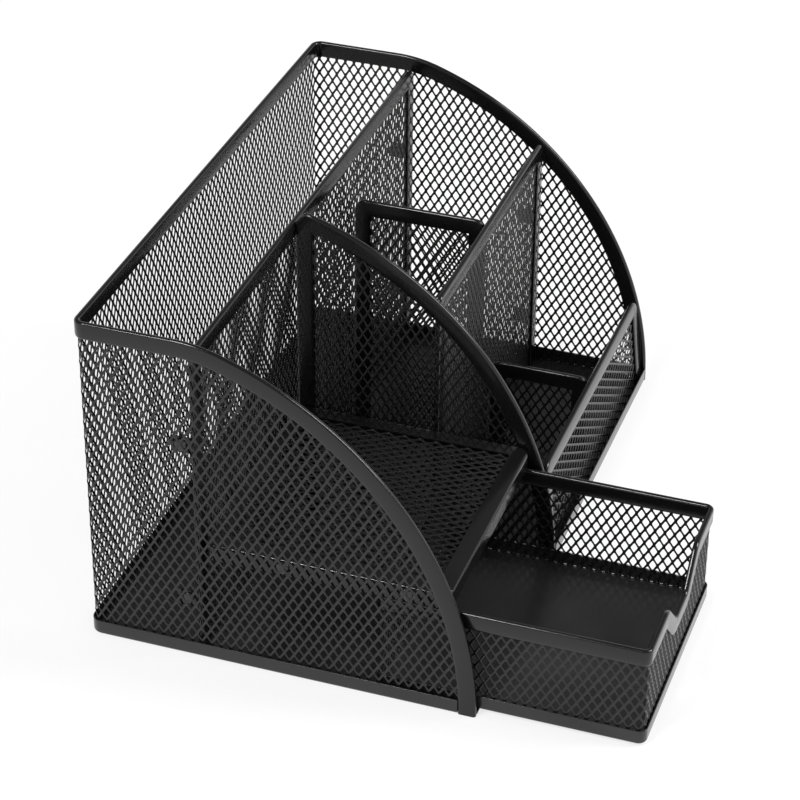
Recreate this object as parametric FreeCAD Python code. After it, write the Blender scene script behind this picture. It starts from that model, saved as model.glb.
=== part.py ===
"""Desk organizer in black expanded metal: pen stand with a sliding drawer.

Millimetres, +Z up. The origin is the middle of the base, on the table.
X runs across the organizer, -Y is the open front, +Y the back wall.

Every wall is the same construction: a sheet of expanded metal whose edge
sits in a folded steel rim. The outer walls stand in a pressed base pan.
"""

import FreeCAD
import Part
import math
import os

from FreeCAD import Vector

# ---------------------------------------------------------------- sizes

# Outer body
WIDTH = 220.0  # across the two side rims
DEPTH = 137.0  # front edge of the side rims to the back wall
HEIGHT = 123.0  # flat top of the side and back rims
ARC_START = 96.0  # from the front to where the side's flat top turns down
WALL_CORNER = 4.0  # outer radius of the two upright back corners

# Sheet stock and fits
MESH_T = 0.8  # expanded metal
RIM_SHEET = 0.5  # folded rim strip
PAN_SHEET = 0.5  # base pan and drawer pan, floor and flange
CLEAR = 0.1  # between two pieces that seat on each other

# Rims and flanges
RIM_WIDTH = 6.0  # how far a folded rim reaches down its sheet
FRAME_CORNER = 4.0  # outer corner radius of the partition frames
MIDDLE_CORNER = 7.0  # top rear corner of the middle panel
PAN_FLANGE = 5.5  # upturned edge of the base pan

# Expanded metal pattern
DIAMOND_SHORT = 22.0  # pitch across the short diagonals
DIAMOND_LONG = 36.5  # pitch along the long diagonals
STRAND = 3.85  # width of one strand
CUT_EDGE = 1.5  # whole metal left along a cut edge that no rim covers
LEAST_OPENING = 0.1  # share of a whole diamond that is still cut out

# Inner walls: planes and heights
REAR_DIVIDER_Y = 97.0  # from the front edge to its middle plane
REAR_DIVIDER_DROP = 4.4  # below the flat top of the side rims
FRONT_DIVIDER_Y = 45.5
FRONT_DIVIDER_DROP = 0.6  # below the side rim's outline at that plane
MIDDLE_PANEL_X = -17.0
PEN_PARTITION_X = 42.0
CLIP_PARTITION_X = 47.0
CLIP_PARTITION_TOP = 36.0
FRONT_WALL_TOP = 37.0
FRONT_WALL_SETBACK = 1.2  # its foot behind the front edge of the pan
FRONT_WALL_LEAN = 6.0  # degrees, top leaning back

# Tray over the drawer
TRAY_TOP = 45.5
TRAY_SETBACK = 10.0  # front face behind the front edge of the side rims
TRAY_SKIRT = 6.0
TRAY_CORNER = 3.0

# Welds
WELD_TAB = 7.0  # length of the tabs on the dividers' ends
WELD_TAB_HEIGHT = 6.0
WELD_D = 5.0  # across the corners
WELD_SIDES = 8
REAR_DIVIDER_WELDS = (22.0, 83.0)  # heights
FRONT_DIVIDER_WELDS = (20.0, 64.0)
TRAY_WELDS = (0.33, 0.83)  # share of the tray's length from its back

# Drawer
DRAWER_SIDE_CLEARANCE = 1.6
DRAWER_TOP_CLEARANCE = 1.0
DRAWER_LIFT = 0.3  # running gap over the base pan
DRAWER_FRONT_SETBACK = 1.0  # closed, behind the front edge
DRAWER_BACK_CLEARANCE = 3.0  # closed, in front of the rear divider
DRAWER_OPEN = 57.0  # how far it is pulled out here
DRAWER_CORNER = 3.0
DRAWER_FLANGE = 5.4
NOTCH_WIDTH = 38.0  # finger notch in the drawer's front, at its top
NOTCH_FLOOR = 14.0  # width of its level floor before rounding
NOTCH_DEPTH = 12.0
NOTCH_SHOULDER_R = 7.0
NOTCH_FLOOR_R = 4.0

# ------------------------------------------------------- derived sizes

SLOT = MESH_T + 2 * CLEAR  # room between a rim's two leaves
RIM_T = SLOT + 2 * RIM_SHEET
EDGE = RIM_SHEET + CLEAR  # a sheet's edge behind its rim's outline
ARC_R = (ARC_START**2 + HEIGHT**2) / (2 * ARC_START)
SIDE_X = WIDTH / 2 - RIM_T / 2  # middle plane of a side wall
BACK_Y = DEPTH - RIM_T / 2
INNER_X = WIDTH / 2 - RIM_T  # inner faces of the side rims
FLOOR_TOP = PAN_SHEET + CLEAR  # where the inner walls stand
BAY_LEFT = -INNER_X
BAY_RIGHT = MIDDLE_PANEL_X - RIM_T / 2
REAR_DIVIDER_TOP = HEIGHT - REAR_DIVIDER_DROP
REAR_DIVIDER_FRONT = REAR_DIVIDER_Y - RIM_T / 2
FRONT_DIVIDER_BACK = FRONT_DIVIDER_Y + RIM_T / 2
FRONT_DIVIDER_FRONT = FRONT_DIVIDER_Y - RIM_T / 2

DRAWER_W = BAY_RIGHT - BAY_LEFT - 2 * DRAWER_SIDE_CLEARANCE
DRAWER_L = REAR_DIVIDER_FRONT - DRAWER_BACK_CLEARANCE - DRAWER_FRONT_SETBACK
DRAWER_BOTTOM = PAN_SHEET + DRAWER_LIFT
DRAWER_H = TRAY_TOP - TRAY_SKIRT - DRAWER_TOP_CLEARANCE - DRAWER_BOTTOM
DRAWER_X = (BAY_LEFT + BAY_RIGHT) / 2
DRAWER_Y = DRAWER_FRONT_SETBACK - DRAWER_OPEN  # its front face, from the front

BEYOND = 1.0  # overshoot of a cutting tool


# ------------------------------------------------------- flat outlines


def polygon(points):
    """Flat face through 2-D points."""
    corners = [Vector(u, v, 0) for u, v in points]
    return Part.Face(Part.makePolygon(corners + corners[:1]))


def rounded_edges(points, radii):
    """Edges of an open 2-D path with each inner corner rounded to its radius."""
    corners = [Vector(u, v, 0) for u, v in points]
    edges = []
    start = corners[0]
    for before, corner, after, radius in zip(corners, corners[1:], corners[2:], radii):
        back = (before - corner).normalize()
        ahead = (after - corner).normalize()
        half = back.getAngle(ahead) / 2
        if radius <= 0:
            edges.append(Part.makeLine(start, corner))
            start = corner
            continue
        reach = radius / math.tan(half)
        centre = corner + (back + ahead).normalize() * (radius / math.sin(half))
        first = corner + back * reach
        last = corner + ahead * reach
        middle = centre + (corner - centre).normalize() * radius
        if (first - start).Length > 1e-6:
            edges.append(Part.makeLine(start, first))
        edges.append(Part.Arc(first, middle, last).toShape())
        start = last
    if (corners[-1] - start).Length > 1e-6:
        edges.append(Part.makeLine(start, corners[-1]))
    return edges


def rounded_face(points, radii):
    """Flat face of a closed 2-D polygon, with one radius for each corner."""
    first = ((points[0][0] + points[-1][0]) / 2, (points[0][1] + points[-1][1]) / 2)
    return Part.Face(Part.Wire(rounded_edges([first, *points, first], radii)))


def rectangle(left, right, bottom, top, low_radius=0.0, high_radius=0.0):
    """Rectangle with rounded lower and upper corners."""
    points = [(left, bottom), (right, bottom), (right, top), (left, top)]
    return rounded_face(points, [low_radius, low_radius, high_radius, high_radius])


def arc_height(distance):
    """Height of the side outline at a distance from the front edge."""
    if distance >= ARC_START:
        return HEIGHT
    return math.sqrt(ARC_R**2 - (ARC_R - distance) ** 2)


def side_outline(inset, back, bottom):
    """Side profile: upright back, flat top, then an arc down to the front.

    The inset draws in the top and the arc, but not the back or the bottom.
    """
    radius = ARC_R - inset
    top = HEIGHT - inset
    turn = ARC_R - math.sqrt(radius**2 - top**2)
    end = min(turn, back)
    start = Vector(ARC_R - math.sqrt(radius**2 - bottom**2), bottom, 0)
    finish = Vector(end, math.sqrt(radius**2 - (ARC_R - end) ** 2), 0)
    low = math.atan2(start.y, start.x - ARC_R)
    high = math.atan2(finish.y, finish.x - ARC_R)
    low = low if low > 0 else low + 2 * math.pi
    angle = (low + high) / 2
    halfway = Vector(ARC_R + radius * math.cos(angle), radius * math.sin(angle), 0)
    edges = [Part.Arc(start, halfway, finish).toShape()]
    corners = [finish, Vector(back, bottom, 0), start]
    if turn < back:
        corners.insert(1, Vector(back, top, 0))
    edges += [Part.makeLine(a, b) for a, b in zip(corners, corners[1:])]
    return Part.Face(Part.Wire(edges))


# ------------------------------------------- sheet, rim and placement


def plate(face, thickness):
    """Solid centred on the face's plane."""
    solid = face.extrude(Vector(0, 0, thickness))
    solid.translate(Vector(0, 0, -thickness / 2))
    return solid


def diamond(u, v):
    """One opening of the expanded metal, long diagonal along v."""
    short, long = DIAMOND_SHORT / 2, DIAMOND_LONG / 2
    scale = 1 - STRAND / 2 * math.hypot(short, long) / (short * long)
    half_u, half_v = short * scale, long * scale
    return polygon([(u - half_u, v), (u, v - half_v), (u + half_u, v), (u, v + half_v)])


def openings(window):
    """Diamond openings over a window, clipped where they meet its edge."""
    box = window.BoundBox
    whole = diamond(0, 0).Area
    columns = math.ceil(box.XLength / DIAMOND_SHORT / 2) + 1
    rows = math.ceil(box.YLength / DIAMOND_LONG) + 1
    wires = []
    for row in range(-rows, rows + 1):
        shift = DIAMOND_SHORT / 2 * (row % 2)
        for column in range(-columns, columns + 1):
            u = box.Center.x + column * DIAMOND_SHORT + shift
            v = box.Center.y + row * DIAMOND_LONG / 2
            shape = diamond(u, v)
            inside = [
                window.isInside(corner.Point, 1e-6, True) for corner in shape.Vertexes
            ]
            if all(inside):
                wires.append(shape.OuterWire)
                continue
            clipped = shape.common(window)
            if len(clipped.Faces) == 1 and clipped.Area > LEAST_OPENING * whole:
                wires.append(clipped.Faces[0].OuterWire)
    return wires


def mesh_sheet(outline, window):
    """Expanded metal sheet: openings in the window, whole metal under the rim."""
    face = Part.makeFace(
        [outline.OuterWire, *openings(window)], "Part::FaceMakerBullseye"
    )
    return plate(face, MESH_T)


def folded_rim(outline, window, slot):
    """Strip folded over a sheet's edge: two leaves and the crown that joins them."""
    return plate(outline.cut(window), RIM_T).cut(plate(slot, SLOT))


def across_x(shape, x):
    """Place a plate drawn in (distance from the front, height) at one x."""
    placed = shape.copy()
    axes = FreeCAD.Matrix(0, 0, 1, x, 1, 0, 0, -DEPTH / 2, 0, 1, 0, 0, 0, 0, 0, 1)
    placed.Placement = FreeCAD.Placement(axes).multiply(shape.Placement)
    return placed


def across_y(shape, distance):
    """Place a plate drawn in (x, height) at one distance from the front."""
    placed = shape.copy()
    upright = FreeCAD.Rotation(Vector(1, 0, 0), 90)
    stand = FreeCAD.Placement(Vector(0, distance - DEPTH / 2, 0), upright)
    placed.Placement = stand.multiply(shape.Placement)
    return placed


def block(left, right, front, back, bottom, top):
    """Box from its six sides, with front and back measured from the front edge."""
    size = Vector(right - left, back - front, top - bottom)
    corner = Vector(left, front - DEPTH / 2, bottom)
    return Part.makeBox(size.x, size.y, size.z, corner)


def prism(face, distance, bottom, top):
    """Upright solid over a plan outline drawn from the given distance."""
    solid = face.extrude(Vector(0, 0, top - bottom))
    solid.translate(Vector(0, distance - DEPTH / 2, bottom))
    return solid


# -------------------------------------------------------- outer walls


def side_mesh(x):
    """Side wall sheet, from the base pan up into its rim."""
    back = DEPTH - WALL_CORNER - CLEAR
    outline = side_outline(EDGE, back, FLOOR_TOP)
    window = side_outline(RIM_WIDTH, back - CUT_EDGE, PAN_FLANGE)
    return across_x(mesh_sheet(outline, window), x)


def side_rim(x):
    """Rim over the flat top and down the arc to the table."""
    back = DEPTH - WALL_CORNER
    window = side_outline(RIM_WIDTH, back + BEYOND, -BEYOND)
    slot = side_outline(RIM_SHEET, back + BEYOND, -BEYOND)
    return across_x(folded_rim(side_outline(0, back, 0), window, slot), x)


def corner_bend(x, distance, radius, thickness, side, end):
    """Plan of a quarter bend: side -1 is left, end -1 is front, +1 is back."""
    bend = Part.Face(Part.Wire(Part.makeCircle(radius + thickness / 2))).cut(
        Part.Face(Part.Wire(Part.makeCircle(radius - thickness / 2)))
    )
    reach = radius + thickness
    low_u, high_u = sorted((0.0, side * reach))
    low_v, high_v = sorted((0.0, end * reach))
    quarter = bend.common(rectangle(low_u, high_u, low_v, high_v))
    quarter.translate(Vector(x, distance, 0))
    return quarter


def bends(half_width, distance, corner, thickness, end, bottom, top):
    """Both corner bends of an end wall, as upright solids."""
    radius = corner - RIM_T / 2
    plans = [
        corner_bend(side * half_width, distance, radius, thickness, side, end)
        for side in (-1, 1)
    ]
    return [prism(plan, 0, bottom, top) for plan in plans]


def back_mesh():
    """Back wall sheet with its two bent corners."""
    half = WIDTH / 2 - WALL_CORNER
    outline = rectangle(-half, half, FLOOR_TOP, HEIGHT - EDGE)
    opened = half - CUT_EDGE
    window = rectangle(-opened, opened, PAN_FLANGE, HEIGHT - RIM_WIDTH)
    sheet = across_y(mesh_sheet(outline, window), BACK_Y)
    turns = bends(
        half, DEPTH - WALL_CORNER, WALL_CORNER, MESH_T, 1, FLOOR_TOP, HEIGHT - EDGE
    )
    return sheet.fuse(turns).removeSplitter()


def back_rim():
    """Rim over the back wall and round its two corners."""
    half = WIDTH / 2 - WALL_CORNER
    low = HEIGHT - RIM_WIDTH
    outline = rectangle(-half, half, low, HEIGHT)
    slot = rectangle(-half - BEYOND, half + BEYOND, low - BEYOND, HEIGHT - RIM_SHEET)
    straight = plate(outline, RIM_T).cut(plate(slot, SLOT))
    place = (half, DEPTH - WALL_CORNER, WALL_CORNER)
    solid = bends(*place, RIM_T, 1, low, HEIGHT)
    hollow = bends(*place, SLOT, 1, low - BEYOND, HEIGHT - RIM_SHEET)
    turns = [outer.cut(inner) for outer, inner in zip(solid, hollow)]
    return across_y(straight, BACK_Y).fuse(turns).removeSplitter()


def base_pan():
    """Pressed floor with an upturned flange outside the walls.

    The flange is left out across the drawer's opening, and the pan is notched
    where the side rims come down to the table.
    """
    half = WIDTH / 2
    plan = rectangle(-half, half, 0, DEPTH, 0, WALL_CORNER)
    inner = rectangle(
        -half + PAN_SHEET,
        half - PAN_SHEET,
        PAN_SHEET,
        DEPTH - PAN_SHEET,
        0,
        WALL_CORNER - PAN_SHEET,
    )
    pan = prism(plan, 0, 0, PAN_FLANGE)
    pan = pan.cut(prism(inner, 0, PAN_SHEET, PAN_FLANGE + BEYOND))
    cells = MIDDLE_PANEL_X + RIM_T / 2 + CLEAR
    pan = pan.cut(block(-half, cells, -BEYOND, PAN_SHEET, PAN_SHEET, PAN_FLANGE + BEYOND))
    rim_end = ARC_R - math.sqrt((ARC_R - RIM_WIDTH) ** 2 - PAN_FLANGE**2) + CLEAR
    for side in (-1, 1):
        near, far = sorted((side * (INNER_X - CLEAR), side * (half + BEYOND)))
        pan = pan.cut(
            block(near, far, -BEYOND, rim_end, -BEYOND, PAN_FLANGE + BEYOND)
        )
    return pan


# -------------------------------------------------------- inner walls


def front_divider_top():
    """Top of the front divider and of the pen partition, just under the arc."""
    return arc_height(FRONT_DIVIDER_Y) - FRONT_DIVIDER_DROP


def framed_wall(left, right, top):
    """Sheet and rim of a wall framed at its top and both ends, feet on the floor."""
    reach = FLOOR_TOP - BEYOND
    outline = rectangle(left, right, FLOOR_TOP, top, 0, FRAME_CORNER)
    window = rectangle(left + RIM_WIDTH, right - RIM_WIDTH, reach, top - RIM_WIDTH)
    slot = rectangle(
        left + RIM_SHEET,
        right - RIM_SHEET,
        reach,
        top - RIM_SHEET,
        0,
        FRAME_CORNER - RIM_SHEET,
    )
    sheet = rectangle(
        left + EDGE, right - EDGE, FLOOR_TOP, top - EDGE, 0, FRAME_CORNER - EDGE
    )
    opened = rectangle(
        left + RIM_WIDTH, right - RIM_WIDTH, FLOOR_TOP + CUT_EDGE, top - RIM_WIDTH
    )
    return mesh_sheet(sheet, opened), folded_rim(outline, window, slot)


def with_tabs(rim, distance, side_ends, heights, direction):
    """Add the bent tabs that lie flat on the side walls for welding."""
    face = distance + direction * RIM_T / 2
    front, back = sorted((face, face + direction * WELD_TAB))
    for side, end in side_ends:
        left, right = sorted((end, end - side * RIM_SHEET))
        for height in heights:
            low, high = height - WELD_TAB_HEIGHT / 2, height + WELD_TAB_HEIGHT / 2
            rim = rim.fuse(block(left, right, front, back, low, high))
    return rim


def rear_divider():
    """Full-width wall behind the pen cells."""
    end = INNER_X - CLEAR
    mesh, rim = framed_wall(-end, end, REAR_DIVIDER_TOP)
    rim = across_y(rim, REAR_DIVIDER_Y)
    ends = [(-1, -end), (1, end)]
    rim = with_tabs(rim, REAR_DIVIDER_Y, ends, REAR_DIVIDER_WELDS, 1)
    return across_y(mesh, REAR_DIVIDER_Y), rim


def front_divider():
    """Wall between the pen cells and the clip cells."""
    left = MIDDLE_PANEL_X + RIM_T / 2 + CLEAR
    right = INNER_X - CLEAR
    mesh, rim = framed_wall(left, right, front_divider_top())
    rim = across_y(rim, FRONT_DIVIDER_Y)
    rim = with_tabs(rim, FRONT_DIVIDER_Y, [(1, right)], FRONT_DIVIDER_WELDS, 1)
    return across_y(mesh, FRONT_DIVIDER_Y), rim


def middle_panel():
    """Wall between the drawer bay and the cells, with the same arc as the sides."""
    back = REAR_DIVIDER_FRONT - CLEAR
    reach = FLOOR_TOP - BEYOND

    def outline(inset, bottom):
        arc = side_outline(inset, back - inset, bottom)
        corner = max(MIDDLE_CORNER - inset, 0)
        return arc.common(
            rectangle(-DEPTH, back - inset, bottom, HEIGHT - inset, 0, corner)
        )

    sheet = outline(EDGE, FLOOR_TOP).Faces[0]
    opened = outline(RIM_WIDTH, FLOOR_TOP + CUT_EDGE).Faces[0]
    rim = folded_rim(
        outline(0, FLOOR_TOP), outline(RIM_WIDTH, reach), outline(RIM_SHEET, reach)
    )
    mesh = mesh_sheet(sheet, opened)
    return across_x(mesh, MIDDLE_PANEL_X), across_x(rim, MIDDLE_PANEL_X)


def pen_partition():
    """Framed wall between the two pen cells."""
    front = FRONT_DIVIDER_BACK + CLEAR
    back = REAR_DIVIDER_FRONT - CLEAR
    mesh, rim = framed_wall(front, back, front_divider_top())
    return across_x(mesh, PEN_PARTITION_X), across_x(rim, PEN_PARTITION_X)


def front_wall_plane(shape):
    """Stand a plate up at the front edge of the cells and lean it back."""
    placed = across_y(shape, FRONT_WALL_SETBACK + RIM_T / 2)
    foot = Vector(0, FRONT_WALL_SETBACK + RIM_T / 2 - DEPTH / 2, FLOOR_TOP)
    placed.rotate(foot, Vector(1, 0, 0), -FRONT_WALL_LEAN)
    return placed


def front_wall():
    """Low leaning wall across the front of the clip cells."""
    left = MIDDLE_PANEL_X + RIM_T / 2 + CLEAR
    right = INNER_X - CLEAR
    mesh, rim = framed_wall(left, right, FRONT_WALL_TOP)
    trim = RIM_T / 2 * math.tan(math.radians(FRONT_WALL_LEAN)) + CLEAR
    below = block(-WIDTH, WIDTH, -DEPTH, DEPTH, -DEPTH, PAN_SHEET + trim)
    return [front_wall_plane(piece).cut(below) for piece in (mesh, rim)]


def clip_partition():
    """Low wall between the two clip cells, behind the leaning front wall."""
    lean = math.tan(math.radians(FRONT_WALL_LEAN))
    height = CLIP_PARTITION_TOP - FLOOR_TOP
    front = FRONT_WALL_SETBACK + RIM_T + height * lean + 2 * CLEAR
    back = FRONT_DIVIDER_FRONT - CLEAR
    mesh, rim = framed_wall(front, back, CLIP_PARTITION_TOP)
    return across_x(mesh, CLIP_PARTITION_X), across_x(rim, CLIP_PARTITION_X)


def tray():
    """Shelf over the drawer: a sheet in a frame with a skirt turned down."""
    left, right = BAY_LEFT + CLEAR, BAY_RIGHT - CLEAR
    front, back = TRAY_SETBACK, REAR_DIVIDER_FRONT - CLEAR

    def plan(inset):
        corner = max(TRAY_CORNER - inset, 0)
        return rectangle(
            left + inset, right - inset, front + inset, back - inset, corner, corner
        )

    under = TRAY_TOP - RIM_SHEET
    frame = prism(plan(0), 0, TRAY_TOP - TRAY_SKIRT, TRAY_TOP)
    frame = frame.cut(prism(plan(RIM_SHEET), 0, 0, under))
    frame = frame.cut(prism(plan(RIM_WIDTH), 0, 0, TRAY_TOP + BEYOND))
    mesh = mesh_sheet(plan(EDGE), plan(RIM_WIDTH))
    mesh.translate(Vector(0, -DEPTH / 2, under - CLEAR - MESH_T / 2))
    return mesh, frame


def spot_welds():
    """Weld nuggets between the inner pieces and the side walls' sheets."""
    turns = [2 * math.pi * k / WELD_SIDES for k in range(WELD_SIDES)]
    nugget = polygon([(WELD_D / 2 * math.cos(t), WELD_D / 2 * math.sin(t)) for t in turns])
    tab = RIM_T / 2 + WELD_TAB / 2
    tray_length = REAR_DIVIDER_FRONT - TRAY_SETBACK
    tray_height = TRAY_TOP - TRAY_SKIRT / 2
    places = [(-1, REAR_DIVIDER_Y + tab, height) for height in REAR_DIVIDER_WELDS]
    places += [(1, REAR_DIVIDER_Y + tab, height) for height in REAR_DIVIDER_WELDS]
    places += [(1, FRONT_DIVIDER_Y + tab, height) for height in FRONT_DIVIDER_WELDS]
    places += [
        (-1, REAR_DIVIDER_FRONT - share * tray_length, tray_height)
        for share in TRAY_WELDS
    ]
    start = INNER_X - CLEAR
    end = SIDE_X - MESH_T / 2
    thickness = end - start
    nuggets = []
    for side, distance, height in places:
        spot = nugget.translated(Vector(distance, height, 0))
        nuggets.append(across_x(plate(spot, thickness), side * (start + end) / 2))
    return Part.Compound(nuggets)


# ------------------------------------------------------------- drawer


def drawer_plan(inset):
    """Plan of the drawer with rounded corners, front face at distance 0."""
    half = DRAWER_W / 2 - inset
    corner = max(DRAWER_CORNER - inset, 0)
    plan = rectangle(-half, half, inset, DRAWER_L - inset, corner, corner)
    plan.translate(Vector(DRAWER_X, 0, 0))
    return plan


def drawer_pan():
    """Solid floor of the drawer with a flange outside the walls."""
    pan = prism(drawer_plan(0), DRAWER_Y, DRAWER_BOTTOM, DRAWER_BOTTOM + DRAWER_FLANGE)
    floor = DRAWER_BOTTOM + PAN_SHEET
    return pan.cut(prism(drawer_plan(PAN_SHEET), DRAWER_Y, floor, DRAWER_BOTTOM + DRAWER_H))


def notched_face(inset, bottom, half_width):
    """Front view of the drawer's front, below its top edge with the finger notch.

    The inset draws the whole top edge in, parallel to itself.
    """
    top = DRAWER_BOTTOM + DRAWER_H - inset
    run = (NOTCH_WIDTH - NOTCH_FLOOR) / 2
    widen = inset * math.tan(math.atan2(NOTCH_DEPTH, run) / 2)
    shoulder = NOTCH_WIDTH / 2 + widen
    floor = NOTCH_FLOOR / 2 + widen
    low = top - NOTCH_DEPTH
    points = [
        (0, bottom),
        (-half_width, bottom),
        (-half_width, top),
        (-shoulder, top),
        (-floor, low),
        (floor, low),
        (shoulder, top),
        (half_width, top),
        (half_width, bottom),
        (0, bottom),
    ]
    soft = max(NOTCH_SHOULDER_R - inset, 0)
    deep = NOTCH_FLOOR_R + inset
    face = Part.Face(
        Part.Wire(rounded_edges(points, [0, 0, soft, deep, deep, soft, 0, 0]))
    )
    face.translate(Vector(DRAWER_X, 0, 0))
    return face


def drawer_end_mesh(end):
    """Front or back sheet with its two bent corners; end is -1 or 1."""
    half = DRAWER_W / 2 - DRAWER_CORNER
    opened = half - CUT_EDGE
    low = DRAWER_BOTTOM + PAN_SHEET + CLEAR
    top = DRAWER_BOTTOM + DRAWER_H
    hem = DRAWER_BOTTOM + DRAWER_FLANGE
    if end < 0:
        outline = notched_face(EDGE, low, half)
        window = notched_face(RIM_WIDTH, hem, opened)
    else:
        outline = rectangle(DRAWER_X - half, DRAWER_X + half, low, top - EDGE)
        window = rectangle(DRAWER_X - opened, DRAWER_X + opened, hem, top - RIM_WIDTH)
    distance = DRAWER_Y + (RIM_T / 2 if end < 0 else DRAWER_L - RIM_T / 2)
    centre = DRAWER_Y + (DRAWER_CORNER if end < 0 else DRAWER_L - DRAWER_CORNER)
    turns = bends(half, centre, DRAWER_CORNER, MESH_T, end, low, top - EDGE)
    for turn in turns:
        turn.translate(Vector(DRAWER_X, 0, 0))
    return across_y(mesh_sheet(outline, window), distance).fuse(turns).removeSplitter()


def drawer_side_mesh(side):
    """Left or right sheet between the corner bends; side is -1 or 1."""
    front = DRAWER_Y + DRAWER_CORNER + CLEAR
    back = DRAWER_Y + DRAWER_L - DRAWER_CORNER - CLEAR
    low = DRAWER_BOTTOM + PAN_SHEET + CLEAR
    top = DRAWER_BOTTOM + DRAWER_H
    outline = rectangle(front, back, low, top - EDGE)
    window = rectangle(
        front + CUT_EDGE,
        back - CUT_EDGE,
        DRAWER_BOTTOM + DRAWER_FLANGE,
        top - RIM_WIDTH,
    )
    x = DRAWER_X + side * (DRAWER_W / 2 - RIM_T / 2)
    return across_x(mesh_sheet(outline, window), x)


def drawer_rim():
    """Rim round the drawer's top, dipping in a finger notch at the front."""
    top = DRAWER_BOTTOM + DRAWER_H
    low = top - RIM_WIDTH
    ring = prism(drawer_plan(0).cut(drawer_plan(RIM_T)), DRAWER_Y, low, top)
    gap = drawer_plan(RIM_SHEET).cut(drawer_plan(RIM_SHEET + SLOT))
    ring = ring.cut(prism(gap, DRAWER_Y, low - BEYOND, top - RIM_SHEET))
    reach = NOTCH_WIDTH / 2 + NOTCH_SHOULDER_R
    left, right = DRAWER_X - reach, DRAWER_X + reach
    front = DRAWER_Y - BEYOND
    ring = ring.cut(block(left, right, front, front + 2 * RIM_T, low - BEYOND, top + BEYOND))
    deep = low - NOTCH_DEPTH - BEYOND
    notched = folded_rim(
        notched_face(0, deep, reach),
        notched_face(RIM_WIDTH, deep - BEYOND, reach + BEYOND),
        notched_face(RIM_SHEET, deep - BEYOND, reach + BEYOND),
    )
    return ring.fuse(across_y(notched, DRAWER_Y + RIM_T / 2)).removeSplitter()


# ------------------------------------------------------------ assembly


def solid_of(shape):
    """The single solid of a shape, or the shape itself if it is a group."""
    return shape.Solids[0] if len(shape.Solids) == 1 else shape


def all_parts():
    """Every node of the organizer by name."""
    parts = {
        "base_pan": base_pan(),
        "left_side_mesh": side_mesh(-SIDE_X),
        "right_side_mesh": side_mesh(SIDE_X),
        "back_mesh": back_mesh(),
        "left_side_rim": side_rim(-SIDE_X),
        "right_side_rim": side_rim(SIDE_X),
        "back_rim": back_rim(),
        "spot_welds": spot_welds(),
        "drawer_pan": drawer_pan(),
        "drawer_front_mesh": drawer_end_mesh(-1),
        "drawer_back_mesh": drawer_end_mesh(1),
        "drawer_left_mesh": drawer_side_mesh(-1),
        "drawer_right_mesh": drawer_side_mesh(1),
        "drawer_rim": drawer_rim(),
    }
    framed = {
        "rear_divider": rear_divider(),
        "front_divider": front_divider(),
        "middle_panel": middle_panel(),
        "pen_partition": pen_partition(),
        "clip_partition": clip_partition(),
        "front_wall": front_wall(),
        "tray": tray(),
    }
    for name, (mesh, rim) in framed.items():
        parts[f"{name}_mesh"] = mesh
        parts[f"{name}_rim"] = rim
    return parts


os.makedirs("parts", exist_ok=True)
for name, shape in all_parts().items():
    solid_of(shape).exportStep(f"parts/{name}.step")
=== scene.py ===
"""Looks of the pen stand with drawer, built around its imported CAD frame.

Every wall is a sheet of expanded metal in a folded rim. A sheet and its rim are
drawn flat, in (u, v, n): along the sheet, up the sheet and out of it. A place
function then stands them up in the CAD frame, round the bends where it has any.
Sizes are in millimetres until a mesh is made, and X, Y, Z are the frame's axes.
"""

import itertools
import math

import bmesh
import bpy
import numpy as np
from mathutils import Matrix, Vector


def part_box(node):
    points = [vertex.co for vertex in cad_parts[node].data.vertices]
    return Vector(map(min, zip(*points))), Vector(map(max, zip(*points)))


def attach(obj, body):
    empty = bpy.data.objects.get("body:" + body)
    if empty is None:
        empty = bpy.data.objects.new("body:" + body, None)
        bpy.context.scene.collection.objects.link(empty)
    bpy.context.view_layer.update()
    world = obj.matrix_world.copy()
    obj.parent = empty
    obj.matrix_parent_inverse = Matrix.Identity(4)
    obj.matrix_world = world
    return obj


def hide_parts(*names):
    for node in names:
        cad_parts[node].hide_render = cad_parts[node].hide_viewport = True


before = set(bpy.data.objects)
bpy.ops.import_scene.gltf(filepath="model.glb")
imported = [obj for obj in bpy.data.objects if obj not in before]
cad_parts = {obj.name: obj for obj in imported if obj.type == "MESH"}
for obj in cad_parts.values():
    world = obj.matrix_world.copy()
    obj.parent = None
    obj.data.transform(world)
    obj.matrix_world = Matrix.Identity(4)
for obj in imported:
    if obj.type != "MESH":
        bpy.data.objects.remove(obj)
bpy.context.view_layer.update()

# ---------------------------------------------------------------- sizes

MM = 0.001

# Expanded metal
SHORT = 3.47  # pitch across the short diagonals
LONG = 5.8  # pitch along the long diagonals
OPEN_WIDTH = 2.25  # an opening across, between two knuckles
OPEN_HEIGHT = 3.62  # an opening along the long pitch
OPEN_SIDE = 0.55  # length of its flat sides
OPEN_TIP = 0.34  # width of its coat-filled tips
SHEET = 0.46  # thickness at a knuckle
SHEET_EDGE = 0.16  # thickness at a strand's edges
TILT = 0.14  # how far a strand's two edges stand out of the sheet's plane
ROUNDING = 0.1  # width of a strand's rounded shoulder

# Rims
RIM_WIDTH = 6.0
RIM_T = 2.0  # thickness over both leaves
RIM_SHEET = 0.5
CROWN = 0.85  # radius of the fold along a rim's top
FOLD_CHAMFER = 0.2  # inside the fold
TUCK = 0.2  # how far a leaf's free edge is pressed onto the mesh
TUCK_LENGTH = 0.7
LEAF_CHAMFER = 0.1  # on a leaf's free edge
MESH_INSET = 0.9  # a sheet's edge behind its rim's outline
FRAME_CORNER = 4.0
MIDDLE_CORNER = 7.0
WALL_CORNER = 4.0  # outer radius where the back wall turns into the sides

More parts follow.
